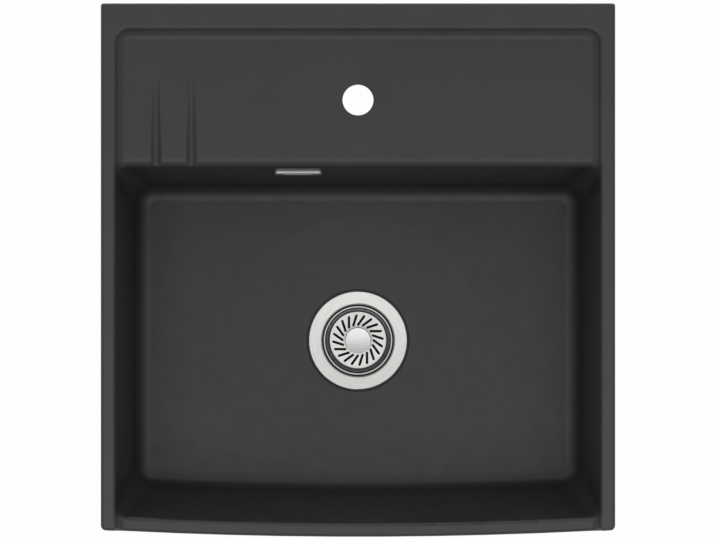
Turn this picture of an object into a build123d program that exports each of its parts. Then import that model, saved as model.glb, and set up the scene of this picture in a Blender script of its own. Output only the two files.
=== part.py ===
from build123d import *
import math
import os

# Ceramic kitchen sink: bowed apron front, tap deck, slotted overflow and basket strainer waste.
# Millimetres. +Z is up and -Y faces the person at the sink. The origin is the middle of the
# footprint, on the plane that the ceramic is seated on.

# Ceramic body
WIDTH = 580.0
DEPTH = 602.0
HEIGHT = 220.0
FRONT_BOW = 8.0
FRONT_CORNER_R = 6.0
BACK_CORNER_R = 3.0
TOP_EDGE_R = 4.0
FOOT_EDGE_R = 2.5

# Raised rim and the tap deck inside it
SIDE_RIM = 17.0
BACK_RIM = 29.2
RECESS = 10.0
RECESS_CORNER_R = 16.5
RIM_EDGE_R = 4.0
COVE_R = 13.0
DECK_DEPTH = 155.4
DECK_THICK = 14.0
TAP_HOLE_R = 17.5
TAP_HOLE_BACK = 79.3
TAP_HOLE_EDGE_R = 1.5

# Drain grooves at the left end of the deck
GROOVE_COUNT = 2
GROOVE_INSET = 62.0
GROOVE_PITCH = 40.0
GROOVE_LENGTH = 112.0
GROOVE_DEPTH = 4.4
GROOVE_HALF = 7.0
GROOVE_START_DEPTH = 0.5
GROOVE_START_HALF = 4.2
GROOVE_RUNOUT = 0.4
# Half of a groove's section, as shares of its half width and of its depth
GROOVE_SHAPE = ((-1.2, -0.06), (-1, 0), (-0.64, 0.48), (-0.28, 0.93), (0, 1))

# Bowl
BOWL_DEPTH = 190.0
FRONT_RIM = 15.5
SIDE_DRAFT = 4.5
BACK_DRAFT = 6.0
FRONT_DRAFT = 10.0
LIP_R = 11.0
FRONT_LIP_R = 4.5
FLOOR_CORNER_R = 26.0
FLOOR_COVE_R = 18.0
FLOOR_THICK = 16.0
FLOOR_FALL = 2.0
FALL_R = 145.0
BACK_WALL = 14.0

# Underside: seat ring, recess below the floor, and the hollow under the deck
SEAT_SIDE = 38.0
SEAT_FRONT = 42.0
SEAT_BACK = 20.0
SEAT_CORNER_R = 20.0
SIDE_WALL = 16.0
BACK_SKIRT = 14.0
SKIRT_HEIGHT = 80.0
HOLLOW_R = 6.0

# Fits shared by the fittings
FIT = 0.05
RUNNING = 0.1
SEATING = 0.2
SHEET = 1.2

# Waste: steel cup, seals, plastic housing and the screw that clamps them
DRAIN_BACK = 198.4
HOLE_ROOM = 1.2
FLANGE_WIDTH = 14.8
FLANGE_MARGIN = 1.8
FLANGE_SINK = 3.0
DRAIN_EDGE_R = 1.5
FLANGE_SEAL = 1.5
FLANGE_SEAL_EDGE = 1.5
FLANGE_DISH = 0.6
FLANGE_BEND_R = 1.0
CUP_R = 42.6
CUP_LEDGE = 4.2
LEDGE_DEPTH = 7.7
CUP_CORNER_R = 5.0
DIMPLE_ROOM = 3.0
DIMPLE_COVER = 0.6
CUP_PORTS = 6
PORT_EDGE = 3.0
PORT_COVER = 1.5
PORT_ANGLE = 38.0
HOUSING_SEAL = 4.0
HOUSING_ROOM = 2.2
HOUSING_WALL = 3.0
HOUSING_FLANGE_WIDTH = 11.0
HOUSING_FLANGE = 6.0
SUMP_DEPTH = 7.0
FUNNEL_DROP = 8.0
OUTLET_R = 23.9
OUTLET_WALL = 4.9
OUTLET_LENGTH = 24.0
BOSS_GAP = 1.8
BOSS_WALL = 3.5
BOSS_LENGTH = 28.0
SPIDER_ARMS = 3
SPIDER_TURN = 60.0
SPIDER_WIDTH = 5.0
SPIDER_HEIGHT = 12.0
SPIDER_DROP = 6.0
SCREW_R = 4.0
SCREW_HEAD_R = 7.0
SCREW_HEAD = 4.4
SCREW_LENGTH = 27.0
SCREW_SLOT = 1.6
SCREW_SLOT_DEPTH = 2.0
INSERT_R = 6.5
INSERT_LENGTH = 24.0
INSERT_SINK = 2.0

# Strainer basket and the stopper that slides in it
BASKET_SHEET = 1.0
BASKET_REST = 3.4
BASKET_TAPER = 3.2
BASKET_DEPTH = 15.5
BASKET_CORNER_R = 1.8
SLOT_COUNT = 20
SLOT_WIDTH = 2.9
SLOT_OFFSET = 10.6
SLOT_KNOB_GAP = 1.8
SLOT_EDGE = 2.0
BUSH_R = 6.0
BUSH_LIP = 2.5
BUSH_ABOVE = 2.0
BUSH_BELOW = 1.5
DETENT_R = 4.5
DETENT_HEIGHT = 1.4
STEM_R = 3.0
STEM_COLLAR_R = 5.0
STEM_COLLAR = 1.2
STEM_HEAD_R = 5.5
STEM_HEAD = 1.3
STEM_IN_KNOB = 7.0
KNOB_R = 15.4
KNOB_HEIGHT = 13.0
KNOB_WAIST_R = 12.0
KNOB_DISH = 0.9
KNOB_EDGE_R = 0.8
STOPPER_TRAVEL = 6.5
STOPPER_MARGIN = 0.5
SEAL_R = 31.5
SEAL_LIP = 5.0
SEAL_HEIGHT = 6.3
SEAL_HOLLOW = 2.8
RETAINER_R = 16.0
RETAINER = 1.5

# Overflow: slot in the bowl's back wall, steel surround, housing behind the wall and rigid pipe
OVERFLOW_LEFT = 68.0
OVERFLOW_DROP = 33.0
WALL_SLOT_LENGTH = 50.0
WALL_SLOT_HEIGHT = 11.0
BEZEL_OVERLAP = 2.0
BEZEL_THICK = 3.5
BEZEL_CORNER_R = 4.0
BEZEL_EDGE_R = 1.5
BEZEL_SEAL = 0.5
BEZEL_SEAL_INSET = 0.5
BEZEL_WEB = 1.5
COLLAR_WALL = 1.2
COLLAR_ROOM = 0.8
COLLAR_SHORT = 3.0
BEZEL_SCREW_INSET = 2.5
BEZEL_SCREW_R = 1.75
BEZEL_SCREW_HEAD_R = 3.0
BEZEL_SCREW_HEAD = 1.6
BEZEL_SCREW_REACH = 12.0
BEZEL_SCREW_SLOT = 0.8
BEZEL_SCREW_SLOT_DEPTH = 0.7
OVERFLOW_SEAL = 2.5
OVERFLOW_SEAL_EDGE = 1.0
PLATE_MARGIN = 8.0
PLATE = 4.0
SCREW_BOSS_R = 4.2
CHAMBER_HEIGHT = 12.0
CHAMBER_WALL = 2.5
CHAMBER_ROOM = 1.4
PIPE_R = 10.0
PIPE_WALL = 1.6
PIPE_BEND_R = 36.0
SOCKET_WALL = 3.7
SOCKET_DEPTH = 20.0
SOCKET_STOP = 1.8
UPPER_SOCKET_DROP = 45.0
INLET_DROP = 22.0
INLET_REACH = 30.0
WASHER_LENGTH = 5.0
WASHER_TAPER = 1.6
NUT_WALL = 3.8
NUT_GRIP = 10.0
NUT_CAP = 3.0
NUT_RIBS = 12
NUT_RIB_R = 1.6

# Places worked out from the sizes above: ceramic
OVERCUT = 2 * RECESS
EDGE_SHARES = (0.1, 0.5, 0.9)
BOW_R = ((WIDTH / 2) ** 2 + FRONT_BOW ** 2) / (2 * FRONT_BOW)
BOW_Y = BOW_R - DEPTH / 2
BACK_Y = DEPTH / 2
RECESS_Y = BACK_Y - BACK_RIM
BOWL_Y = RECESS_Y - DECK_DEPTH
DECK_Z = HEIGHT - RECESS
MOUTH_DROP = LIP_R + COVE_R
MOUTH_Z = DECK_Z - MOUTH_DROP
OVER_Z = HEIGHT + OVERCUT
FLOOR_Z = HEIGHT - BOWL_DEPTH
UNDERSIDE_Z = FLOOR_Z - FLOOR_THICK
TAP_Y = RECESS_Y - TAP_HOLE_BACK
DRAIN_Y = BOWL_Y - DRAIN_BACK
GROOVE_PLACES = [GROOVE_INSET + index * GROOVE_PITCH - WIDTH / 2 for index in range(GROOVE_COUNT)]

# Radii of the waste, basket and stopper
CUP_OUTER_R = CUP_R + SHEET
DRAIN_HOLE_R = CUP_OUTER_R + HOLE_ROOM
FLANGE_R = CUP_R + FLANGE_WIDTH
LEDGE_R = CUP_R - CUP_LEDGE
DIMPLE_R = SCREW_HEAD_R + DIMPLE_ROOM
HOUSING_R = CUP_OUTER_R + HOUSING_ROOM
HOUSING_OUTER_R = HOUSING_R + HOUSING_WALL
HOUSING_FLANGE_R = HOUSING_R + HOUSING_FLANGE_WIDTH
BOSS_R = INSERT_R + BOSS_WALL
BASKET_RIM_R = LEDGE_R + BASKET_REST
BASKET_WALL_R = LEDGE_R - SEATING
BASKET_FOOT_R = BASKET_WALL_R - BASKET_SHEET - BASKET_TAPER
PORT_INNER_R = DIMPLE_R + PORT_EDGE
PORT_OUTER_R = SEAL_R - SEAL_LIP / 2 - PORT_COVER

# Heights of the waste, basket and stopper, from the flange down
FLANGE_SEAT_Z = FLOOR_Z - FLOOR_FALL - FLANGE_SINK
FLANGE_Z = FLANGE_SEAT_Z + FLANGE_SEAL + SHEET
CUP_BROW_Z = FLANGE_Z - FLANGE_DISH
LEDGE_Z = FLANGE_Z - LEDGE_DEPTH
BASKET_Z = LEDGE_Z + SEATING
BASKET_FLOOR_Z = BASKET_Z - BASKET_DEPTH
BUSH_TOP_Z = BASKET_FLOOR_Z + BUSH_ABOVE
BUSH_FOOT_Z = BASKET_FLOOR_Z - BASKET_SHEET - BUSH_BELOW
KNOB_Z = BUSH_TOP_Z + SEATING
COLLAR_TOP_Z = BUSH_FOOT_Z - STOPPER_TRAVEL - STOPPER_MARGIN
RETAINER_Z = COLLAR_TOP_Z - STEM_COLLAR
SEAL_TOP_Z = RETAINER_Z - RETAINER
SEAL_Z = SEAL_TOP_Z - SEAL_HEIGHT
CUP_FLOOR_Z = SEAL_Z - SEATING
DIMPLE_Z = CUP_FLOOR_Z - SCREW_HEAD - DIMPLE_COVER
BOSS_Z = DIMPLE_Z - SHEET - BOSS_GAP
HOUSING_Z = UNDERSIDE_Z - HOUSING_SEAL
HOUSING_FLOOR_Z = BOSS_Z - BOSS_LENGTH - SUMP_DEPTH
OUTLET_Z = HOUSING_FLOOR_Z - FUNNEL_DROP - OUTLET_LENGTH
INLET_Z = DIMPLE_Z - INLET_DROP
INLET_END = HOUSING_OUTER_R + INLET_REACH

# Overflow
OVERFLOW_X = -OVERFLOW_LEFT
OVERFLOW_Z = DECK_Z - OVERFLOW_DROP
SOCKET_R = PIPE_R + RUNNING
SOCKET_OUTER_R = SOCKET_R + SOCKET_WALL
SOCKET_BORE_R = SOCKET_R - SOCKET_STOP
UPPER_SOCKET_Z = OVERFLOW_Z - UPPER_SOCKET_DROP
BEZEL_LENGTH = WALL_SLOT_LENGTH + 2 * BEZEL_OVERLAP
BEZEL_HEIGHT = WALL_SLOT_HEIGHT + 2 * BEZEL_OVERLAP
BEZEL_FACE = BEZEL_SEAL + BEZEL_THICK
BEZEL_SCREW_OFFSET = WALL_SLOT_LENGTH / 2 - BEZEL_SCREW_INSET
BEZEL_SLOT_LENGTH = 2 * (BEZEL_SCREW_OFFSET - BEZEL_SCREW_HEAD_R - BEZEL_WEB)
BEZEL_SLOT_HEIGHT = WALL_SLOT_HEIGHT - 2 * (COLLAR_WALL + COLLAR_ROOM)
PLATE_LENGTH = WALL_SLOT_LENGTH + 2 * PLATE_MARGIN
PLATE_HEIGHT = WALL_SLOT_HEIGHT + 2 * PLATE_MARGIN
PLATE_FRONT = -BACK_WALL - OVERFLOW_SEAL
PLATE_BACK = PLATE_FRONT - PLATE
CHAMBER_DEPTH = 2 * SOCKET_OUTER_R + CHAMBER_ROOM


def run(angle, height):
    """Sideways run of a wall that leans by an angle over a height."""
    return height * math.tan(math.radians(angle))


def half_width(z):
    """Half the clear width between the leaning side walls at a height."""
    return WIDTH / 2 - SIDE_RIM - run(SIDE_DRAFT, DECK_Z - z)


def wall_y(z):
    """Bowl side of the leaning back wall at a height."""
    return BOWL_Y - run(BACK_DRAFT, DECK_Z - z)


def wall_rear_y(z):
    """Rear side of the leaning back wall at a height."""
    return wall_y(z) + BACK_WALL / math.cos(math.radians(BACK_DRAFT))


def polygon(*points):
    return make_face(Polyline(*points, close=True))


def rounded(face, radius, *points):
    """Round the corners of a flat outline that lie at the given points."""
    corners = [face.vertices().sort_by_distance(Vertex(*point))[0] for point in points]
    return fillet(corners, radius)


def turned(face):
    """Solid turned about Z from an outline drawn as radius and height."""
    return revolve(Plane.XZ * face, Axis.Z)


def ring(outer, inner, low, high):
    return turned(polygon((inner, low), (outer, low), (outer, high), (inner, high)))


def at_drain(solid):
    return Pos(0, DRAIN_Y, 0) * solid


def bowed_plan(half, back, inset, back_r, front_r):
    """Plan outline with straight sides and a front that runs parallel to the bowed apron."""
    reach = BOW_R - inset
    side_y = BOW_Y - math.sqrt(reach ** 2 - half ** 2)
    sides = Line((-half, side_y), (-half, back)) + Line((half, back), (half, side_y))
    rear = Line((-half, back), (half, back))
    front = ThreePointArc((half, side_y), (0, BOW_Y - reach), (-half, side_y))
    face = make_face(sides + rear + front)
    face = fillet(face.vertices().sort_by(Axis.Y)[-2:], back_r)
    return fillet(face.vertices().sort_by(Axis.Y)[:2], front_r)


def is_cove_edge(edge):
    """True for the edges where the deck, lips and walls of the mouth meet its sides or its back."""
    box = edge.bounding_box()
    if box.max.Z > DECK_Z + COVE_R / 2 or box.max.Z < MOUTH_Z + COVE_R / 2:
        return False
    points = [edge.position_at(share) for share in EDGE_SHARES]
    beside = all(abs(abs(p.X) - half_width(p.Z)) < FIT for p in points)
    behind = all(p.Y > RECESS_Y - RECESS_CORNER_R - RIM_EDGE_R for p in points)
    return beside or behind


def mouth_cavity():
    """Clear space above the deck, the front rim and the top of the bowl, with its rolled lips."""
    sides = polygon(
        (-half_width(MOUTH_Z), MOUTH_Z), (half_width(MOUTH_Z), MOUTH_Z),
        (half_width(OVER_Z), OVER_Z), (-half_width(OVER_Z), OVER_Z))
    recess_top_y = RECESS_Y + run(SIDE_DRAFT, OVER_Z - DECK_Z)
    deck = polygon(
        (-DEPTH, MOUTH_Z), (wall_y(MOUTH_Z), MOUTH_Z), (BOWL_Y, DECK_Z),
        (RECESS_Y, DECK_Z), (recess_top_y, OVER_Z), (-DEPTH, OVER_Z))
    deck = rounded(deck, LIP_R, (BOWL_Y, DECK_Z))
    wall_r = BOW_R - FRONT_RIM
    inner_r = BOW_R - 2 * DEPTH
    outer_r = BOW_R + DEPTH
    front = polygon(
        (inner_r, MOUTH_Z), (wall_r - run(FRONT_DRAFT, MOUTH_DROP), MOUTH_Z), (wall_r, DECK_Z),
        (outer_r, DECK_Z), (outer_r, OVER_Z), (inner_r, OVER_Z))
    front = rounded(front, FRONT_LIP_R, (wall_r, DECK_Z))
    swing = 2 * math.degrees(math.asin(WIDTH / inner_r))
    front = Pos(0, BOW_Y, 0) * Rot(0, 0, -90 - swing / 2) * revolve(Plane.XZ * front, Axis.Z, swing)
    mouth = extrude(Plane.XZ * sides, 2 * DEPTH, both=True)
    mouth = mouth & extrude(Plane.YZ * deck, WIDTH, both=True)
    mouth = mouth & front
    corners = [
        edge for edge in mouth.edges()
        if edge.center().Y > RECESS_Y - FIT and edge.bounding_box().size.Z > RECESS
        and edge.bounding_box().size.X < RECESS]
    mouth = fillet(corners, RECESS_CORNER_R)
    return fillet([edge for edge in mouth.edges() if is_cove_edge(edge)], COVE_R)


def bowl_cavity(mouth):
    """Bowl below the mouth: leaning walls with corners that widen downwards, coved to the floor."""
    drop = DECK_Z - FLOOR_Z
    foot = bowed_plan(
        half_width(FLOOR_Z), wall_y(FLOOR_Z), FRONT_RIM + run(FRONT_DRAFT, drop),
        FLOOR_CORNER_R, FLOOR_CORNER_R)
    opening = mouth.faces().sort_by(Axis.Z)[0]
    bowl = loft([Pos(0, 0, FLOOR_Z) * foot, opening], ruled=True)
    return fillet(bowl.edges().group_by(Axis.Z)[0], FLOOR_COVE_R)


def drain_cut():
    """Gentle fall to the drain, sunk seat for the flange, and the hole through the floor."""
    seat_r = FLANGE_R + FLANGE_MARGIN
    low_z = FLOOR_Z - FLOOR_FALL
    outline = polygon(
        (0, UNDERSIDE_Z - OVERCUT), (DRAIN_HOLE_R, UNDERSIDE_Z - OVERCUT), (DRAIN_HOLE_R, FLANGE_SEAT_Z),
        (seat_r, FLANGE_SEAT_Z), (seat_r, low_z), (FALL_R, FLOOR_Z), (FALL_R, FLOOR_Z + FLOOR_FALL),
        (0, FLOOR_Z + FLOOR_FALL))
    outline = rounded(outline, DRAIN_EDGE_R, (seat_r, low_z))
    return at_drain(turned(outline))


def under_deck_cut():
    """Hollow behind the bowl, open below and open at the back under the skirt."""
    top_z = DECK_Z - DECK_THICK
    skirt_y = BACK_Y - BACK_SKIRT
    outline = polygon(
        (wall_rear_y(-OVERCUT), -OVERCUT), (wall_rear_y(top_z), top_z), (skirt_y, top_z),
        (skirt_y, HEIGHT - SKIRT_HEIGHT), (BACK_Y + OVERCUT, HEIGHT - SKIRT_HEIGHT),
        (BACK_Y + OVERCUT, -OVERCUT))
    hollow = extrude(Plane.YZ * outline, WIDTH / 2 - SIDE_WALL, both=True)
    return fillet(hollow.edges().group_by(Axis.Z)[-1], HOLLOW_R)


def groove_section(x, y, half, depth, lift):
    """Cross section of a drain groove with soft flanks, lifted by a height above the deck."""
    left = [(share * half, lift - drop * depth) for share, drop in GROOVE_SHAPE]
    right = [(-across, up) for across, up in reversed(left[:-1])]
    start = left[0]
    end = right[-1]
    roof = Polyline(end, (end[0], OVERCUT), (start[0], OVERCUT), start)
    face = make_face(Spline(*left, *right) + roof)
    return Plane(origin=(x, y, DECK_Z), x_dir=(1, 0, 0), z_dir=(0, -1, 0)) * face


def groove_cut(x):
    """Drain groove that runs out at the deck's surface, and widens and deepens towards the bowl."""
    return loft([
        groove_section(x, BOWL_Y + GROOVE_LENGTH, GROOVE_START_HALF, GROOVE_START_DEPTH, GROOVE_RUNOUT),
        groove_section(x, BOWL_Y - LIP_R, GROOVE_HALF, GROOVE_DEPTH, 0)], ruled=True)


def sink_basin():
    outline = bowed_plan(WIDTH / 2, BACK_Y, 0, BACK_CORNER_R, FRONT_CORNER_R)
    body = extrude(outline, HEIGHT)
    body = fillet(body.edges().group_by(Axis.Z)[-1], TOP_EDGE_R)
    body = fillet(body.edges().group_by(Axis.Z)[0], FOOT_EDGE_R)
    mouth = mouth_cavity()
    body = body - (mouth + bowl_cavity(mouth))
    rim = [
        edge for edge in body.edges()
        if edge.bounding_box().min.Z > HEIGHT - FIT and edge.length > 2 * TOP_EDGE_R
        and abs(edge.center().X) < WIDTH / 2 - SIDE_RIM / 2 - TOP_EDGE_R / 2
        and -DEPTH / 3 < edge.center().Y < BACK_Y - BACK_RIM / 2]
    body = fillet(rim, RIM_EDGE_R)
    seat_recess = bowed_plan(
        WIDTH / 2 - SEAT_SIDE, wall_rear_y(0) - SEAT_BACK, SEAT_FRONT, SEAT_CORNER_R, SEAT_CORNER_R)
    body = body - extrude(Pos(0, 0, -OVERCUT) * seat_recess, UNDERSIDE_Z + OVERCUT)
    body = body - under_deck_cut() - drain_cut()
    tap_hole = Pos(0, TAP_Y, DECK_Z) * Cylinder(TAP_HOLE_R, 2 * DECK_THICK + OVERCUT)
    body = body - tap_hole
    top_of_hole = [
        edge for edge in body.edges()
        if edge.geom_type == GeomType.CIRCLE and abs(edge.center().Z - DECK_Z) < FIT
        and abs(edge.radius - TAP_HOLE_R) < FIT]
    body = fillet(top_of_hole, TAP_HOLE_EDGE_R)
    for x in GROOVE_PLACES:
        body = body - groove_cut(x)
    return body - wall_slab(WALL_SLOT_LENGTH, WALL_SLOT_HEIGHT, -BACK_WALL - OVERCUT, OVERCUT)


# Waste fittings, drawn about Z and moved to the drain


def waste_cup():
    """Pressed steel flange and cup: ledge for the basket, ported floor, dimple for the screw."""
    low = -SHEET
    hole_r = SCREW_R + RUNNING
    outline = polygon(
        (FLANGE_R, FLANGE_Z), (CUP_R, CUP_BROW_Z), (CUP_R, LEDGE_Z), (LEDGE_R, LEDGE_Z),
        (LEDGE_R, CUP_FLOOR_Z), (DIMPLE_R, CUP_FLOOR_Z), (DIMPLE_R, DIMPLE_Z), (hole_r, DIMPLE_Z),
        (hole_r, DIMPLE_Z + low), (DIMPLE_R + SHEET, DIMPLE_Z + low),
        (DIMPLE_R + SHEET, CUP_FLOOR_Z + low), (LEDGE_R + SHEET, CUP_FLOOR_Z + low),
        (LEDGE_R + SHEET, LEDGE_Z + low), (CUP_OUTER_R, LEDGE_Z + low),
        (CUP_OUTER_R, FLANGE_Z + low), (FLANGE_R, FLANGE_Z + low))
    outline = rounded(outline, FLANGE_BEND_R, (CUP_R, CUP_BROW_Z))
    outline = rounded(outline, CUP_CORNER_R, (LEDGE_R, CUP_FLOOR_Z))
    outline = rounded(outline, CUP_CORNER_R + SHEET, (LEDGE_R + SHEET, CUP_FLOOR_Z + low))
    outline = rounded(outline, SHEET / 2, (FLANGE_R, FLANGE_Z))
    cup = turned(outline)
    port = revolve(
        Plane.XZ * polygon(
            (PORT_INNER_R, CUP_FLOOR_Z - OVERCUT), (PORT_OUTER_R, CUP_FLOOR_Z - OVERCUT),
            (PORT_OUTER_R, CUP_FLOOR_Z + SHEET), (PORT_INNER_R, CUP_FLOOR_Z + SHEET)),
        Axis.Z, PORT_ANGLE)
    for index in range(CUP_PORTS):
        cup = cup - Rot(0, 0, index * 360 / CUP_PORTS) * port
    return at_drain(cup)


def flange_gasket():
    outer = FLANGE_R - FLANGE_SEAL_EDGE
    inner = DRAIN_HOLE_R + FLANGE_SEAL_EDGE
    return at_drain(ring(outer, inner, FLANGE_SEAT_Z, FLANGE_SEAT_Z + FLANGE_SEAL))


def housing_gasket():
    return at_drain(ring(HOUSING_FLANGE_R, HOUSING_R, HOUSING_Z, UNDERSIDE_Z))


def inlet_plane(distance):
    """Plane square to the overflow inlet, at a distance from the drain axis, facing outwards."""
    away = (pipe_axis(0) - Vector(0, DRAIN_Y, 0)).normalized()
    return Plane(origin=Vector(0, DRAIN_Y, INLET_Z) + away * distance, x_dir=(0, 0, 1), z_dir=away)


def waste_housing():
    """Plastic body under the floor: flange, funnel, outlet, spider for the screw, overflow inlet."""
    bore = OUTLET_R - OUTLET_WALL
    funnel_z = HOUSING_FLOOR_Z - FUNNEL_DROP
    inside = [
        (bore, funnel_z + HOUSING_WALL), (HOUSING_R, HOUSING_FLOOR_Z + HOUSING_WALL),
        (HOUSING_R, HOUSING_Z)]
    outside = [
        (HOUSING_FLANGE_R, HOUSING_Z), (HOUSING_FLANGE_R, HOUSING_Z - HOUSING_FLANGE),
        (HOUSING_OUTER_R, HOUSING_Z - HOUSING_FLANGE), (HOUSING_OUTER_R, HOUSING_FLOOR_Z),
        (OUTLET_R, funnel_z), (OUTLET_R, OUTLET_Z), (bore, OUTLET_Z)]
    body = at_drain(turned(polygon(*inside, *outside)))
    space = at_drain(turned(polygon((0, HOUSING_Z), (0, funnel_z + HOUSING_WALL), *inside)))
    tube = extrude(inlet_plane(HOUSING_R) * Circle(SOCKET_OUTER_R), INLET_END - HOUSING_R)
    body = body + (tube - space)
    body = body - extrude(inlet_plane(INLET_END - SOCKET_DEPTH) * Circle(SOCKET_R), SOCKET_DEPTH)
    body = body - extrude(inlet_plane(BOSS_R) * Circle(SOCKET_BORE_R), INLET_END - BOSS_R)
    return body + at_drain(spider())


def spider():
    """Blind boss for the threaded insert, held in the middle of the housing by arms."""
    pocket_z = BOSS_Z - INSERT_SINK - INSERT_LENGTH - SEATING
    hub = ring(BOSS_R, 0, BOSS_Z - BOSS_LENGTH, BOSS_Z) - ring(INSERT_R + FIT, 0, pocket_z, BOSS_Z)
    start = (INSERT_R + BOSS_R) / 2
    end = (HOUSING_R + HOUSING_OUTER_R) / 2
    arm = Box(end - start, SPIDER_WIDTH, SPIDER_HEIGHT, align=(Align.MIN, Align.CENTER, Align.MAX))
    arm = Pos(start, 0, BOSS_Z - SPIDER_DROP) * arm
    for index in range(SPIDER_ARMS):
        hub = hub + Rot(0, 0, SPIDER_TURN + index * 360 / SPIDER_ARMS) * arm
    return hub


def clamp_screw():
    """Pan-head screw that draws the housing up against the underside of the floor."""
    head = ring(SCREW_HEAD_R, 0, DIMPLE_Z, DIMPLE_Z + SCREW_HEAD)
    head = fillet(head.edges().group_by(Axis.Z)[-1], SCREW_HEAD / 3)
    slot = Pos(0, 0, DIMPLE_Z + SCREW_HEAD) * Box(3 * SCREW_HEAD_R, SCREW_SLOT, 2 * SCREW_SLOT_DEPTH)
    shank = ring(SCREW_R, 0, DIMPLE_Z - SCREW_LENGTH, DIMPLE_Z)
    return at_drain(head + shank - slot)


def threaded_insert():
    top = BOSS_Z - INSERT_SINK
    return at_drain(ring(INSERT_R, SCREW_R + FIT, top - INSERT_LENGTH, top))


# Basket and stopper, drawn about Z and moved to the drain


def strainer_basket():
    """Pressed steel basket: beaded rim on the cup's ledge, leaning wall, floor with swirled slots."""
    rim_in = BASKET_WALL_R - BASKET_SHEET
    bead_r = (BASKET_RIM_R - rim_in) / 2
    low_z = BASKET_FLOOR_Z - BASKET_SHEET
    hole_r = BUSH_R + FIT
    sheet = Polyline(
        (rim_in, BASKET_Z), (BASKET_FOOT_R, BASKET_FLOOR_Z), (hole_r, BASKET_FLOOR_Z),
        (hole_r, low_z), (BASKET_FOOT_R + BASKET_SHEET, low_z), (BASKET_WALL_R, BASKET_Z),
        (BASKET_RIM_R, BASKET_Z))
    bead = ThreePointArc(
        (BASKET_RIM_R, BASKET_Z), (rim_in + bead_r, BASKET_Z + bead_r), (rim_in, BASKET_Z))
    outline = make_face(sheet + bead)
    outline = rounded(outline, BASKET_CORNER_R, (BASKET_FOOT_R, BASKET_FLOOR_Z))
    outline = rounded(outline, BASKET_CORNER_R + BASKET_SHEET, (BASKET_FOOT_R + BASKET_SHEET, low_z))
    slot_end = math.sqrt((BASKET_FOOT_R - BASKET_CORNER_R - SLOT_EDGE) ** 2 - SLOT_OFFSET ** 2)
    slot_start = math.sqrt((KNOB_R + SLOT_KNOB_GAP) ** 2 - SLOT_OFFSET ** 2)
    middle = Pos((slot_start + slot_end) / 2, SLOT_OFFSET, low_z - BASKET_SHEET)
    slot = extrude(middle * SlotOverall(slot_end - slot_start, SLOT_WIDTH), 3 * BASKET_SHEET)
    slots = [Rot(0, 0, index * 360 / SLOT_COUNT) * slot for index in range(SLOT_COUNT)]
    return at_drain(turned(outline) - slots)


def stem_bush():
    """Plastic bush in the basket's floor, grooved for the detent ring, that guides the stem."""
    lip_r = BUSH_R + BUSH_LIP
    low_z = BASKET_FLOOR_Z - BASKET_SHEET
    groove_r = DETENT_R + FIT
    groove_z = BASKET_FLOOR_Z - BASKET_SHEET / 2 - DETENT_HEIGHT / 2 - FIT
    bush = turned(polygon(
        (STEM_R + RUNNING, BUSH_FOOT_Z), (lip_r, BUSH_FOOT_Z), (lip_r, low_z), (BUSH_R, low_z),
        (BUSH_R, BASKET_FLOOR_Z), (lip_r, BASKET_FLOOR_Z), (lip_r, BUSH_TOP_Z),
        (STEM_R + RUNNING, BUSH_TOP_Z)))
    return at_drain(bush - ring(groove_r, 0, groove_z, groove_z + DETENT_HEIGHT + 2 * FIT))


def detent_ring():
    low_z = BASKET_FLOOR_Z - BASKET_SHEET / 2 - DETENT_HEIGHT / 2
    return at_drain(ring(DETENT_R, STEM_R + FIT, low_z, low_z + DETENT_HEIGHT))


def stopper_stem():
    """Steel stem: foot head under the seal, collar over the retainer, top end in the knob."""
    head_top = SEAL_Z + SEAL_HOLLOW
    top = KNOB_Z + STEM_IN_KNOB
    return at_drain(turned(polygon(
        (0, head_top - STEM_HEAD), (STEM_HEAD_R, head_top - STEM_HEAD), (STEM_HEAD_R, head_top),
        (STEM_R, head_top), (STEM_R, RETAINER_Z), (STEM_COLLAR_R, RETAINER_Z),
        (STEM_COLLAR_R, COLLAR_TOP_Z), (STEM_R, COLLAR_TOP_Z), (STEM_R, top), (0, top))))


def stopper_knob():
    """Knob over the end of the stem: slightly dished top, and a flank that narrows downwards."""
    top = KNOB_Z + KNOB_HEIGHT
    low = top - KNOB_DISH
    bore_r = STEM_R + FIT
    bore_top = KNOB_Z + STEM_IN_KNOB
    dish_r = (KNOB_R ** 2 + KNOB_DISH ** 2) / (2 * KNOB_DISH)
    half = KNOB_R / 2
    half_z = low + dish_r - math.sqrt(dish_r ** 2 - half ** 2)
    dish = ThreePointArc((KNOB_R, top), (half, half_z), (0, low))
    body = Polyline(
        (0, low), (0, bore_top), (bore_r, bore_top), (bore_r, KNOB_Z), (KNOB_WAIST_R, KNOB_Z),
        (KNOB_R, top))
    outline = rounded(make_face(body + dish), KNOB_EDGE_R, (KNOB_R, top), (KNOB_WAIST_R, KNOB_Z))
    return at_drain(turned(outline))


def stopper_seal():
    """Rubber stopper with a hollow foot and a lip that closes over the cup's ports."""
    outline = polygon(
        (STEM_R + FIT, SEAL_Z + SEAL_HOLLOW), (SEAL_R - SEAL_LIP, SEAL_Z + SEAL_HOLLOW),
        (SEAL_R - SEAL_LIP / 2, SEAL_Z), (SEAL_R, SEAL_Z), (SEAL_R, SEAL_Z + SEAL_HOLLOW),
        (RETAINER_R + SEAL_HOLLOW, SEAL_TOP_Z), (STEM_R + FIT, SEAL_TOP_Z))
    return at_drain(turned(outline))


def seal_retainer():
    return at_drain(ring(RETAINER_R, STEM_R + FIT, SEAL_TOP_Z, RETAINER_Z))


# Overflow fittings, set square to the leaning back wall


def wall_plane(offset):
    """Plane parallel to the back wall, at an offset from its bowl side, facing into the bowl."""
    lean = math.radians(BACK_DRAFT)
    facing = Vector(0, -math.cos(lean), math.sin(lean))
    origin = Vector(OVERFLOW_X, wall_y(OVERFLOW_Z), OVERFLOW_Z) + facing * offset
    return Plane(origin=origin, x_dir=(1, 0, 0), z_dir=facing)


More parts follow.
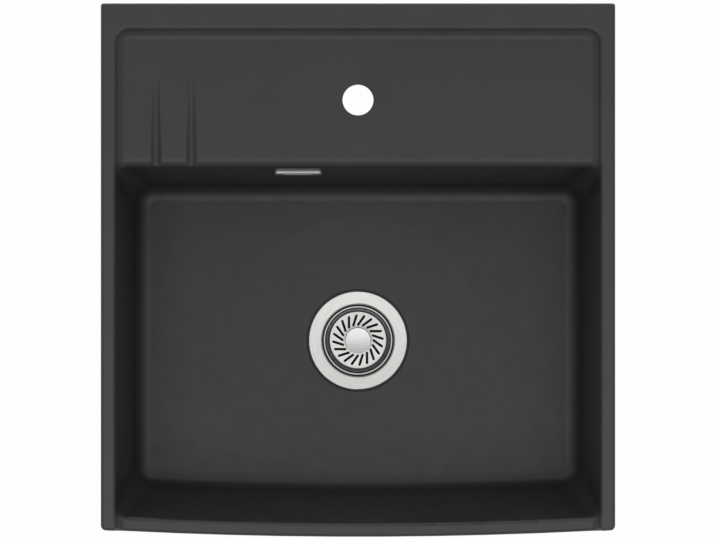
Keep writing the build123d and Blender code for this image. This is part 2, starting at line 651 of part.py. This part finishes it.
def flat_slab(length, height, low, high):
    """Round-ended slab that lies flat, between two heights."""
    return extrude(Pos(0, 0, low) * SlotOverall(length, height), high - low)


def wall_slab(length, height, low, high):
    """Round-ended slab parallel to the back wall, between two offsets from its bowl side."""
    return extrude(wall_plane(low) * SlotOverall(length, height), high - low)


def screw_spots(offset):
    """Places of the bezel's two screws on the flat, at a height."""
    return [Pos(side * BEZEL_SCREW_OFFSET, 0, offset) for side in (-1, 1)]


def screw_planes(offset):
    """Planes square to the bezel's two screws, at an offset from the wall's bowl side."""
    return [wall_plane(0) * spot for spot in screw_spots(offset)]


def screw_rods(radius, low, high):
    return [extrude(plane * Circle(radius), high - low) for plane in screw_planes(low)]


def screw_cone(radius, head_radius):
    """Countersunk head, or the seat for it, that stands on its narrow end."""
    return Cone(radius, head_radius, BEZEL_SCREW_HEAD, align=(Align.CENTER, Align.CENTER, Align.MIN))


def pipe_axis(z):
    """Point on the overflow pipe's upright axis, behind the wall, at a height."""
    middle = wall_plane(PLATE_BACK - CHAMBER_DEPTH / 2).origin
    return Vector(middle.X, middle.Y, z)


def bezel_outline(margin):
    length = BEZEL_LENGTH - 2 * margin
    return RectangleRounded(length, BEZEL_HEIGHT - 2 * margin, BEZEL_CORNER_R - margin)


def overflow_bezel():
    """Steel surround with the overflow slot, a collar into the wall and two countersunk holes."""
    bezel = extrude(Pos(0, 0, BEZEL_SEAL) * bezel_outline(0), BEZEL_THICK)
    bezel = fillet(bezel.faces().sort_by(Axis.Z)[-1].edges(), BEZEL_EDGE_R)
    bezel = bezel + flat_slab(
        BEZEL_SLOT_LENGTH + 2 * COLLAR_WALL, BEZEL_SLOT_HEIGHT + 2 * COLLAR_WALL,
        COLLAR_SHORT - BACK_WALL, BEZEL_SEAL)
    bezel = bezel - flat_slab(BEZEL_SLOT_LENGTH, BEZEL_SLOT_HEIGHT, -BACK_WALL, 2 * BEZEL_FACE)
    hole_r = BEZEL_SCREW_R + RUNNING
    seat = screw_cone(hole_r, BEZEL_SCREW_HEAD_R + RUNNING)
    bezel = bezel - [extrude(spot * Circle(hole_r), 2 * BEZEL_FACE) for spot in screw_spots(0)]
    bezel = bezel - [spot * seat for spot in screw_spots(BEZEL_FACE - BEZEL_SCREW_HEAD)]
    return wall_plane(0) * bezel


def bezel_seal():
    seal = extrude(wall_plane(0) * bezel_outline(BEZEL_SEAL_INSET), BEZEL_SEAL)
    return seal - wall_slab(WALL_SLOT_LENGTH, WALL_SLOT_HEIGHT, 0, BEZEL_SEAL)


def bezel_screws():
    """Two countersunk screws from the bezel through the wall's slot into the housing's bosses."""
    cone = screw_cone(BEZEL_SCREW_R, BEZEL_SCREW_HEAD_R)
    heads = [plane * cone for plane in screw_planes(BEZEL_FACE - BEZEL_SCREW_HEAD)]
    shanks = screw_rods(BEZEL_SCREW_R, PLATE_FRONT - BEZEL_SCREW_REACH, BEZEL_FACE - BEZEL_SCREW_HEAD)
    drive = Rectangle(3 * BEZEL_SCREW_HEAD_R, BEZEL_SCREW_SLOT)
    screws = []
    for head, shank, plane in zip(heads, shanks, screw_planes(BEZEL_FACE - BEZEL_SCREW_SLOT_DEPTH)):
        screw = head + shank - extrude(plane * drive, 2 * BEZEL_SCREW_SLOT_DEPTH)
        screws.append(screw.solids()[0])
    return Compound(children=screws)


def overflow_gasket():
    edge = 2 * OVERFLOW_SEAL_EDGE
    seal = wall_slab(PLATE_LENGTH - edge, PLATE_HEIGHT - edge, PLATE_FRONT, -BACK_WALL)
    return seal - wall_slab(WALL_SLOT_LENGTH + edge, WALL_SLOT_HEIGHT + edge, PLATE_FRONT, -BACK_WALL)


def overflow_housing():
    """Plastic chamber behind the wall: clamping plate, screw bosses and a socket for the pipe."""
    chamber_back = PLATE_BACK - CHAMBER_DEPTH
    body = wall_slab(PLATE_LENGTH, PLATE_HEIGHT, PLATE_BACK, PLATE_FRONT)
    body = body + wall_slab(
        BEZEL_SLOT_LENGTH + 2 * CHAMBER_WALL, CHAMBER_HEIGHT + 2 * CHAMBER_WALL,
        chamber_back - CHAMBER_WALL, PLATE_FRONT)
    body = body + screw_rods(SCREW_BOSS_R, PLATE_FRONT - BEZEL_SCREW_REACH - CHAMBER_WALL, PLATE_FRONT)
    spigot = Plane(origin=pipe_axis(UPPER_SOCKET_Z))
    body = body + extrude(spigot * Circle(SOCKET_OUTER_R), UPPER_SOCKET_DROP)
    body = body - wall_slab(BEZEL_SLOT_LENGTH, CHAMBER_HEIGHT, chamber_back, PLATE_FRONT)
    body = body - extrude(spigot * Circle(SOCKET_BORE_R), UPPER_SOCKET_DROP)
    body = body - extrude(spigot * Circle(SOCKET_R), SOCKET_DEPTH)
    return body - screw_rods(BEZEL_SCREW_R + FIT, PLATE_FRONT - BEZEL_SCREW_REACH, PLATE_FRONT)


def overflow_pipe():
    """Rigid pipe: upright leg behind the bowl, one bend, level leg to the waste housing."""
    start = pipe_axis(UPPER_SOCKET_Z + SOCKET_DEPTH - RUNNING)
    end = inlet_plane(INLET_END - SOCKET_DEPTH + RUNNING).origin
    path = FilletPolyline(start, pipe_axis(INLET_Z), end, radius=PIPE_BEND_R)
    section = Plane(origin=start, z_dir=(0, 0, -1)) * (Circle(PIPE_R) - Circle(PIPE_R - PIPE_WALL))
    return sweep(section, path=path)


def pipe_washer(mouth):
    """Tapered washer round the pipe, against the mouth of a socket; the plane faces outwards."""
    inner = PIPE_R + RUNNING
    outline = polygon(
        (inner, 0), (SOCKET_OUTER_R, 0), (SOCKET_OUTER_R - WASHER_TAPER, WASHER_LENGTH),
        (inner, WASHER_LENGTH))
    return mouth * turned(outline)


def pipe_nut(mouth):
    """Ribbed slip nut over a socket, with a cap that presses the washer; the plane faces outwards."""
    inner = SOCKET_OUTER_R + RUNNING
    outer = inner + NUT_WALL
    cap = WASHER_LENGTH + RUNNING
    nut = turned(polygon(
        (inner, -NUT_GRIP), (outer, -NUT_GRIP), (outer, cap + NUT_CAP), (PIPE_R + SEATING, cap + NUT_CAP),
        (PIPE_R + SEATING, cap), (inner, cap)))
    height = NUT_GRIP + cap + NUT_CAP
    rib = Pos(outer, 0, -NUT_GRIP + height / 2) * Cylinder(NUT_RIB_R, height)
    for index in range(NUT_RIBS):
        nut = nut + Rot(0, 0, index * 360 / NUT_RIBS) * rib
    return mouth * nut


UPPER_MOUTH = Plane(origin=pipe_axis(UPPER_SOCKET_Z), x_dir=(1, 0, 0), z_dir=(0, 0, -1)).location
LOWER_MOUTH = inlet_plane(INLET_END).location

PIECES = {
    "sink_basin": sink_basin(),
    "waste_cup": waste_cup(),
    "flange_gasket": flange_gasket(),
    "waste_housing": waste_housing(),
    "housing_gasket": housing_gasket(),
    "clamp_screw": clamp_screw(),
    "threaded_insert": threaded_insert(),
    "strainer_basket": strainer_basket(),
    "stem_bush": stem_bush(),
    "detent_ring": detent_ring(),
    "stopper_knob": stopper_knob(),
    "stopper_stem": stopper_stem(),
    "stopper_seal": stopper_seal(),
    "seal_retainer": seal_retainer(),
    "overflow_bezel": overflow_bezel(),
    "bezel_seal": bezel_seal(),
    "bezel_screws": bezel_screws(),
    "overflow_housing": overflow_housing(),
    "overflow_gasket": overflow_gasket(),
    "overflow_pipe": overflow_pipe(),
    "upper_pipe_washer": pipe_washer(UPPER_MOUTH),
    "upper_pipe_nut": pipe_nut(UPPER_MOUTH),
    "lower_pipe_washer": pipe_washer(LOWER_MOUTH),
    "lower_pipe_nut": pipe_nut(LOWER_MOUTH),
}

os.makedirs("parts", exist_ok=True)
for name, piece in PIECES.items():
    export_step(piece, f"parts/{name}.step")
    print(name, "solids", len(piece.solids()), "valid", piece.is_valid, "volume", round(piece.volume))
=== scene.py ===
import bpy
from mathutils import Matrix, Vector


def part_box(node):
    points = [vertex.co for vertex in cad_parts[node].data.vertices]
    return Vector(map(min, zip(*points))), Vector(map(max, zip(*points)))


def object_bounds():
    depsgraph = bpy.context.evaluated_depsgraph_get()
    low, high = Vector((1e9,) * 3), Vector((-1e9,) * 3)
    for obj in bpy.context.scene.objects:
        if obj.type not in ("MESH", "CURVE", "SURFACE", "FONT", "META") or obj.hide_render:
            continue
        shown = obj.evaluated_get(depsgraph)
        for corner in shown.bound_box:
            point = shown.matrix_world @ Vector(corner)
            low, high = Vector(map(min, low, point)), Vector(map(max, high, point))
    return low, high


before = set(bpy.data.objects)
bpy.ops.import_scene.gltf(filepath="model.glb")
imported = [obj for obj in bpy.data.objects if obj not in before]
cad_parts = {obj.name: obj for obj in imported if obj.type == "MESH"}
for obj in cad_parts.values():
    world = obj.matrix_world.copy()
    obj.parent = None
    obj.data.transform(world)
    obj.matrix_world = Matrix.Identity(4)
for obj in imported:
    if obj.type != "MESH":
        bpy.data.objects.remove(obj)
cad_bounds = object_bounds()

# Places read from the frame, in metres
cup_low, cup_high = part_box("waste_cup")
DRAIN = ((cup_low[0] + cup_high[0]) / 2, (cup_low[1] + cup_high[1]) / 2, 0.0)
RIM_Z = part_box("sink_basin")[1][2]
FLOOR_Z = cad_bounds[0][2]

# Glaze: tones, noise scales per metre, range of roughness, and strength and depth of the relief
GLAZE_DARK = (0.0386, 0.0447, 0.0390)
GLAZE_LIGHT = (0.0442, 0.0505, 0.0441)
GLAZE_MOTTLE = 14.0
GLAZE_PATCHES = 60.0
GLAZE_GRAIN = 1100.0
GLAZE_ROUGHNESS = (0.40, 0.46)
GLAZE_IOR = 1.5
GLAZE_RELIEF = (0.16, 0.00012)

# Brushed metal: shares of the fine and the broad streaks, how much coarser the broad ones are across and
# along, spread of roughness, and strength and depth of the relief
FINE_SHARE = 0.6
BROAD_SHARE = 0.4
BROAD_ACROSS = 6
BROAD_ALONG = 2
BRUSHED_SPREAD = 0.06
BRUSHED_RELIEF = (0.2, 0.00003)

# Moulded plastic and rubber: mottle's scale per metre, spread of roughness, strength of the relief
MOULDED_MOTTLE = 45.0
MOULDED_SPREAD = 0.07
MOULDED_RELIEF = 0.3

# Painted shade as shares of a finish's tone: the glaze darker below the rim by height, and the ledges, rim
# flanks and inner walls of the cup and the basket darker by distance from the drain's axis, where a face's
# upward lean passes these limits
GLAZE_PAINTED_SHADE = ((0.0, 0.77), (RIM_Z - 0.012, 0.77), (RIM_Z - 0.006, 1.0), (RIM_Z, 1.0))
CUP_PAINTED_SHADE = ((0.0, 0.5), (0.0390, 0.5), (0.0398, 0.06), (0.0420, 0.06), (0.0427, 1.0), (0.06, 1.0))
BASKET_PAINTED_SHADE = (
    (0.0, 1.0), (0.0329, 1.0), (0.0338, 0.35), (0.0352, 0.08), (0.0381, 0.05), (0.0388, 0.9), (0.0396, 0.9),
    (0.0404, 0.06), (0.06, 0.06))
FACING_UP = (0.0, 0.08)

# Floor: size and drop below the part in metres, tones, noise scale, and share of plain white in its look
FLOOR_SIZE = 12.0
FLOOR_DROP = 0.0005
FLOOR_DARK = (0.86, 0.86, 0.86)
FLOOR_LIGHT = (0.88, 0.88, 0.88)
FLOOR_MOTTLE = 6.0
FLOOR_ROUGHNESS = 0.9
FLOOR_SPECULAR = 0.1
FLOOR_GLOW = 0.98

# Sky: strength at the horizon and overhead, the height where it levels off, what the back adds, and the
# heights between which the white backdrop ends
SKY_LOW = 0.10
SKY_HIGH = 0.40
SKY_BREAK = 0.6
SKY_BACK = 0.55
BACKDROP_EDGE = (0.15, 0.25)

# Lamp: place, aimed point, size in metres and power in watts
SOFTBOX_PLACE = (0.0, -0.87, 2.7)
SOFTBOX_AIM = (0.0, -0.87, 0.0)
SOFTBOX_SIZE = (2.6, 1.75)
SOFTBOX_POWER = 17.3

# Camera: height over the rim, shift to the back and width of view at the rim in metres, sensor in mm
CAMERA_HEIGHT = 5.0
CAMERA_SHIFT = 0.0004
VIEW_WIDTH = 0.8066
SENSOR = 36.0
CLIP_END = 30.0

WHITE = (1.0, 1.0, 1.0, 1.0)


def new_material(name):
    """Empty node material: returns it with its tree and its main shader."""
    made = bpy.data.materials.new(name)
    made.use_nodes = True
    tree = made.node_tree
    tree.nodes.clear()
    output = tree.nodes.new("ShaderNodeOutputMaterial")
    shader = tree.nodes.new("ShaderNodeBsdfPrincipled")
    tree.links.new(shader.outputs["BSDF"], output.inputs["Surface"])
    return made, tree, shader


def calculate(tree, operation, first, second):
    """Maths node on a socket and a socket or plain number."""
    step = tree.nodes.new("ShaderNodeMath")
    step.operation = operation
    tree.links.new(first, step.inputs[0])
    if isinstance(second, (int, float)):
        step.inputs[1].default_value = second
    else:
        tree.links.new(second, step.inputs[1])
    return step.outputs["Value"]


def place(tree):
    """Position on the piece in the shared frame, in metres."""
    return tree.nodes.new("ShaderNodeTexCoord").outputs["Object"]


def split(tree, vector):
    """X, Y and Z of a vector."""
    parts = tree.nodes.new("ShaderNodeSeparateXYZ")
    tree.links.new(vector, parts.inputs["Vector"])
    return [parts.outputs[axis] for axis in "XYZ"]


def noise(tree, vector, scale, detail=3.0, rough=0.55):
    """Noise value at a place, with a scale per unit of its vector."""
    grain = tree.nodes.new("ShaderNodeTexNoise")
    grain.inputs["Scale"].default_value = scale
    grain.inputs["Detail"].default_value = detail
    grain.inputs["Roughness"].default_value = rough
    tree.links.new(vector, grain.inputs["Vector"])
    return grain.outputs["Fac"]


def spread(tree, value, low, high, start=0.3, end=0.7):
    """Map a value between two limits to a range; the limits suit a noise value."""
    ranged = tree.nodes.new("ShaderNodeMapRange")
    ranged.inputs["From Min"].default_value = start
    ranged.inputs["From Max"].default_value = end
    ranged.inputs["To Min"].default_value = low
    ranged.inputs["To Max"].default_value = high
    tree.links.new(value, ranged.inputs["Value"])
    return ranged.outputs["Result"]


def tones(tree, value, dark, light, start=0.3, end=0.7):
    """Blend between two colours by a noise value."""
    ramp = tree.nodes.new("ShaderNodeValToRGB")
    ramp.color_ramp.elements[0].position = start
    ramp.color_ramp.elements[1].position = end
    ramp.color_ramp.elements[0].color = (*dark, 1.0)
    ramp.color_ramp.elements[1].color = (*light, 1.0)
    tree.links.new(value, ramp.inputs["Fac"])
    return ramp.outputs["Color"]


def relief(tree, shader, height, strength, depth):
    """Fine surface relief from a noise value; depth in metres."""
    bump = tree.nodes.new("ShaderNodeBump")
    bump.inputs["Strength"].default_value = strength
    bump.inputs["Distance"].default_value = depth
    tree.links.new(height, bump.inputs["Height"])
    tree.links.new(bump.outputs["Normal"], shader.inputs["Normal"])


def shares(tree, value, stops):
    """Shares set at places along a value; each stop is a place and a share, in rising order."""
    span = stops[-1][0]
    ramp = tree.nodes.new("ShaderNodeValToRGB")
    marks = ramp.color_ramp.elements
    while len(marks) < len(stops):
        marks.new(0.5)
    for mark, (spot, share) in zip(marks, stops):
        mark.position = spot / span
        mark.color = (share, share, share, 1.0)
    tree.links.new(calculate(tree, "DIVIDE", value, span), ramp.inputs["Fac"])
    return ramp.outputs["Color"]


def only_facing_up(tree, share):
    """Keep a painted-shade share on faces that look up, and 1 on the others."""
    normal = tree.nodes.new("ShaderNodeTexCoord").outputs["Normal"]
    looks_up = spread(tree, split(tree, normal)[2], 0.0, 1.0, *FACING_UP)
    loss = calculate(tree, "MULTIPLY", calculate(tree, "SUBTRACT", share, 1.0), looks_up)
    return calculate(tree, "ADD", loss, 1.0)


def scaled(tree, colour, share):
    """Colour times a share."""
    product = tree.nodes.new("ShaderNodeVectorMath")
    product.operation = "MULTIPLY"
    tree.links.new(colour, product.inputs[0])
    tree.links.new(share, product.inputs[1])
    return product.outputs["Vector"]


def glaze():
    """Matt anthracite glaze: slow mottling, painted shade below the rim, fine orange-peel relief, uneven
    sheen.
    """
    made, tree, shader = new_material("anthracite_glaze")
    where = place(tree)
    mottle = noise(tree, where, GLAZE_MOTTLE, detail=4.0)
    grain = noise(tree, where, GLAZE_GRAIN, detail=2.0)
    patches = noise(tree, where, GLAZE_PATCHES, detail=5.0)
    tone = tones(tree, mottle, GLAZE_DARK, GLAZE_LIGHT)
    # Painted shade: the tone drops below the rim, so the rim looks paler than the deck and bowl
    tone = scaled(tree, tone, shares(tree, split(tree, where)[2], GLAZE_PAINTED_SHADE))
    tree.links.new(tone, shader.inputs["Base Color"])
    tree.links.new(spread(tree, patches, *GLAZE_ROUGHNESS), shader.inputs["Roughness"])
    shader.inputs["IOR"].default_value = GLAZE_IOR
    relief(tree, shader, grain, *GLAZE_RELIEF)
    return made


def from_drain(tree):
    """X, Y and Z from the drain's middle, and the distance from its axis, in metres."""
    shift = tree.nodes.new("ShaderNodeVectorMath")
    shift.operation = "SUBTRACT"
    shift.inputs[1].default_value = DRAIN
    tree.links.new(place(tree), shift.inputs[0])
    x, y, z = split(tree, shift.outputs["Vector"])
    squares = calculate(tree, "ADD", calculate(tree, "MULTIPLY", x, x), calculate(tree, "MULTIPLY", y, y))
    return x, y, z, calculate(tree, "SQRT", squares, 0.0)


def streaks(tree, round_axis, fine, along):
    """Brushing lines: round the drain's axis, or straight along X."""
    x, y, z, radius = from_drain(tree)
    joined = tree.nodes.new("ShaderNodeCombineXYZ")
    if round_axis:
        turn = calculate(tree, "ARCTAN2", y, x)
        tree.links.new(calculate(tree, "MULTIPLY", radius, fine), joined.inputs["X"])
        tree.links.new(calculate(tree, "MULTIPLY", turn, along), joined.inputs["Y"])
    else:
        tree.links.new(calculate(tree, "MULTIPLY", x, along), joined.inputs["X"])
        tree.links.new(calculate(tree, "MULTIPLY", y, fine), joined.inputs["Y"])
    tree.links.new(calculate(tree, "MULTIPLY", z, fine), joined.inputs["Z"])
    return joined.outputs["Vector"]


def brushed(name, round_axis, fine, along, dark, light, rough, stops=None):
    """Brushed metal: streaks in tone, sheen and relief; stops paint shade by distance from the drain."""
    made, tree, shader = new_material(name)
    lines = noise(tree, streaks(tree, round_axis, fine, along), 1.0, detail=4.0, rough=0.7)
    coarse = streaks(tree, round_axis, fine / BROAD_ACROSS, along / BROAD_ALONG)
    broad = noise(tree, coarse, 1.0, detail=2.0)
    fine_part = calculate(tree, "MULTIPLY", lines, FINE_SHARE)
    broad_part = calculate(tree, "MULTIPLY", broad, BROAD_SHARE)
    both = calculate(tree, "ADD", fine_part, broad_part)
    tone = tones(tree, both, dark, light)
    # Painted shade on up-facing ledges, rim flanks and inner walls near the drain
    if stops:
        share = shares(tree, from_drain(tree)[3], stops)
        tone = scaled(tree, tone, only_facing_up(tree, share))
    tree.links.new(tone, shader.inputs["Base Color"])
    sheen = spread(tree, both, rough - BRUSHED_SPREAD, rough + BRUSHED_SPREAD)
    tree.links.new(sheen, shader.inputs["Roughness"])
    shader.inputs["Metallic"].default_value = 1.0
    relief(tree, shader, lines, *BRUSHED_RELIEF)
    return made


def moulded(name, dark, light, rough, grain_size, depth):
    """Plastic or rubber with a slight mottle and moulded grain."""
    made, tree, shader = new_material(name)
    where = place(tree)
    mottle = noise(tree, where, MOULDED_MOTTLE, detail=4.0)
    grain = noise(tree, where, grain_size)
    tree.links.new(tones(tree, mottle, dark, light), shader.inputs["Base Color"])
    sheen = spread(tree, grain, rough - MOULDED_SPREAD, rough + MOULDED_SPREAD)
    tree.links.new(sheen, shader.inputs["Roughness"])
    relief(tree, shader, grain, MOULDED_RELIEF, depth)
    return made


GLAZE = glaze()
# Painted shade darkens the cup's ledge and floor inside the flange
FLANGE_STEEL = brushed(
    "flange_steel", round_axis=True, fine=2600.0, along=5.0,
    dark=(0.52, 0.52, 0.505), light=(0.75, 0.75, 0.735), rough=0.34, stops=CUP_PAINTED_SHADE)
# Painted shade darkens the basket's rim flanks and inner wall
BASKET_STEEL = brushed(
    "basket_steel", round_axis=True, fine=2600.0, along=5.0,
    dark=(0.60, 0.60, 0.585), light=(0.72, 0.72, 0.705), rough=0.34, stops=BASKET_PAINTED_SHADE)
KNOB_STEEL = brushed(
    "knob_steel", round_axis=False, fine=2600.0, along=90.0,
    dark=(0.58, 0.58, 0.57), light=(0.70, 0.70, 0.69), rough=0.32)
BEZEL_STEEL = brushed(
    "bezel_steel", round_axis=False, fine=3000.0, along=60.0,
    dark=(0.60, 0.60, 0.59), light=(0.72, 0.72, 0.71), rough=0.42)
TURNED_STEEL = brushed(
    "turned_steel", round_axis=True, fine=5000.0, along=3.0,
    dark=(0.50, 0.50, 0.49), light=(0.62, 0.62, 0.61), rough=0.28)
BRASS = brushed(
    "turned_brass", round_axis=True, fine=5000.0, along=3.0,
    dark=(0.52, 0.36, 0.14), light=(0.66, 0.48, 0.21), rough=0.3)
RUBBER = moulded(
    "black_rubber", dark=(0.012, 0.012, 0.012), light=(0.022, 0.022, 0.022),
    rough=0.72, grain_size=900.0, depth=0.0001)
WHITE_PLASTIC = moulded(
    "white_plastic", dark=(0.66, 0.66, 0.635), light=(0.72, 0.72, 0.695),
    rough=0.45, grain_size=700.0, depth=0.00006)
PIPE_PLASTIC = moulded(
    "pipe_plastic", dark=(0.60, 0.60, 0.585), light=(0.67, 0.67, 0.655),
    rough=0.38, grain_size=300.0, depth=0.00005)
BLACK_PLASTIC = moulded(
    "black_plastic", dark=(0.030, 0.030, 0.030), light=(0.042, 0.042, 0.042),
    rough=0.5, grain_size=1200.0, depth=0.00004)

FINISHES = {
    "sink_basin": GLAZE,
    "waste_cup": FLANGE_STEEL,
    "flange_gasket": RUBBER,
    "waste_housing": WHITE_PLASTIC,
    "housing_gasket": RUBBER,
    "clamp_screw": TURNED_STEEL,
    "threaded_insert": BRASS,
    "strainer_basket": BASKET_STEEL,
    "stem_bush": BLACK_PLASTIC,
    "detent_ring": RUBBER,
    "stopper_knob": KNOB_STEEL,
    "stopper_stem": TURNED_STEEL,
    "stopper_seal": RUBBER,
    "seal_retainer": TURNED_STEEL,
    "overflow_bezel": BEZEL_STEEL,
    "bezel_seal": RUBBER,
    "bezel_screws": BEZEL_STEEL,
    "overflow_housing": WHITE_PLASTIC,
    "overflow_gasket": RUBBER,
    "overflow_pipe": PIPE_PLASTIC,
    "upper_pipe_washer": RUBBER,
    "upper_pipe_nut": WHITE_PLASTIC,
    "lower_pipe_washer": RUBBER,
    "lower_pipe_nut": WHITE_PLASTIC,
}
for node_name, finish in FINISHES.items():
    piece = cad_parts[node_name]
    piece.data.materials.clear()
    piece.data.materials.append(finish)


def lines_of_sight(tree):
    """Marks of the rays that come from the camera, and of those that metal or glass sends on."""
    path = tree.nodes.new("ShaderNodeLightPath")
    sent_on = calculate(tree, "MAXIMUM", path.outputs["Is Glossy Ray"], path.outputs["Is Transmission Ray"])
    return path.outputs["Is Camera Ray"], sent_on


def pale_floor():
    """Plain pale floor that keeps the shadow but looks near white, also in metal."""
    made, tree, shader = new_material("pale_floor")
    tone = tones(tree, noise(tree, place(tree), FLOOR_MOTTLE), FLOOR_DARK, FLOOR_LIGHT)
    tree.links.new(tone, shader.inputs["Base Color"])
    shader.inputs["Roughness"].default_value = FLOOR_ROUGHNESS
    shader.inputs["Specular IOR Level"].default_value = FLOOR_SPECULAR
    glow = tree.nodes.new("ShaderNodeEmission")
    seen = calculate(tree, "MAXIMUM", *lines_of_sight(tree))
    mix = tree.nodes.new("ShaderNodeMixShader")
    output = next(item for item in tree.nodes if item.type == "OUTPUT_MATERIAL")
    tree.links.new(calculate(tree, "MULTIPLY", seen, FLOOR_GLOW), mix.inputs["Fac"])
    tree.links.new(shader.outputs["BSDF"], mix.inputs[1])
    tree.links.new(glow.outputs["Emission"], mix.inputs[2])
    tree.links.new(mix.outputs["Shader"], output.inputs["Surface"])
    return made


def studio_sky():
    """Soft sky, brighter overhead and at the back; its white backdrop shows to the camera and in metal."""
    made = bpy.data.worlds.new("studio")
    made.use_nodes = True
    tree = made.node_tree
    tree.nodes.clear()
    output = tree.nodes.new("ShaderNodeOutputWorld")
    soft = tree.nodes.new("ShaderNodeBackground")
    white = tree.nodes.new("ShaderNodeBackground")
    mix = tree.nodes.new("ShaderNodeMixShader")
    soft.inputs["Color"].default_value = WHITE
    white.inputs["Color"].default_value = WHITE
    heading = tree.nodes.new("ShaderNodeTexCoord").outputs["Generated"]
    backward, upward = split(tree, heading)[1:]
    overhead = spread(tree, upward, SKY_LOW, SKY_HIGH, 0.0, SKY_BREAK)
    behind = spread(tree, backward, 0.0, SKY_BACK, 0.0, 1.0)
    tree.links.new(calculate(tree, "ADD", overhead, behind), soft.inputs["Strength"])
    direct, sent_on = lines_of_sight(tree)
    backdrop = spread(tree, upward, 1.0, 0.0, *BACKDROP_EDGE)
    seen = calculate(tree, "MAXIMUM", direct, calculate(tree, "MULTIPLY", sent_on, backdrop))
    tree.links.new(seen, mix.inputs["Fac"])
    tree.links.new(soft.outputs["Background"], mix.inputs[1])
    tree.links.new(white.outputs["Background"], mix.inputs[2])
    tree.links.new(mix.outputs["Shader"], output.inputs["Surface"])
    return made


def softbox(name):
    """Rectangular lamp at its place, turned to face its aimed point."""
    lamp = bpy.data.lights.new(name, "AREA")
    lamp.shape = "RECTANGLE"
    lamp.size, lamp.size_y = SOFTBOX_SIZE
    lamp.energy = SOFTBOX_POWER
    holder = bpy.data.objects.new(name, lamp)
    holder.location = SOFTBOX_PLACE
    aim = Vector(SOFTBOX_AIM) - Vector(SOFTBOX_PLACE)
    holder.rotation_euler = aim.to_track_quat("-Z", "Y").to_euler()
    holder.visible_camera = False
    return holder


def view_camera():
    """Camera that looks straight down on the rim."""
    lens = bpy.data.cameras.new("view")
    lens.sensor_fit = "HORIZONTAL"
    lens.sensor_width = SENSOR
    lens.lens = SENSOR * CAMERA_HEIGHT / VIEW_WIDTH
    lens.clip_end = CLIP_END
    holder = bpy.data.objects.new("view", lens)
    holder.location = (0.0, CAMERA_SHIFT, RIM_Z + CAMERA_HEIGHT)
    return holder


bpy.ops.mesh.primitive_plane_add(size=FLOOR_SIZE, location=(0.0, 0.0, FLOOR_Z - FLOOR_DROP))
floor = bpy.context.object
floor.name = "floor"
floor.data.materials.append(pale_floor())

scene = bpy.context.scene
scene.view_settings.view_transform = "Standard"
scene.world = studio_sky()
scene.collection.objects.link(softbox("overhead_softbox"))
camera = view_camera()
scene.collection.objects.link(camera)
scene.camera = camera
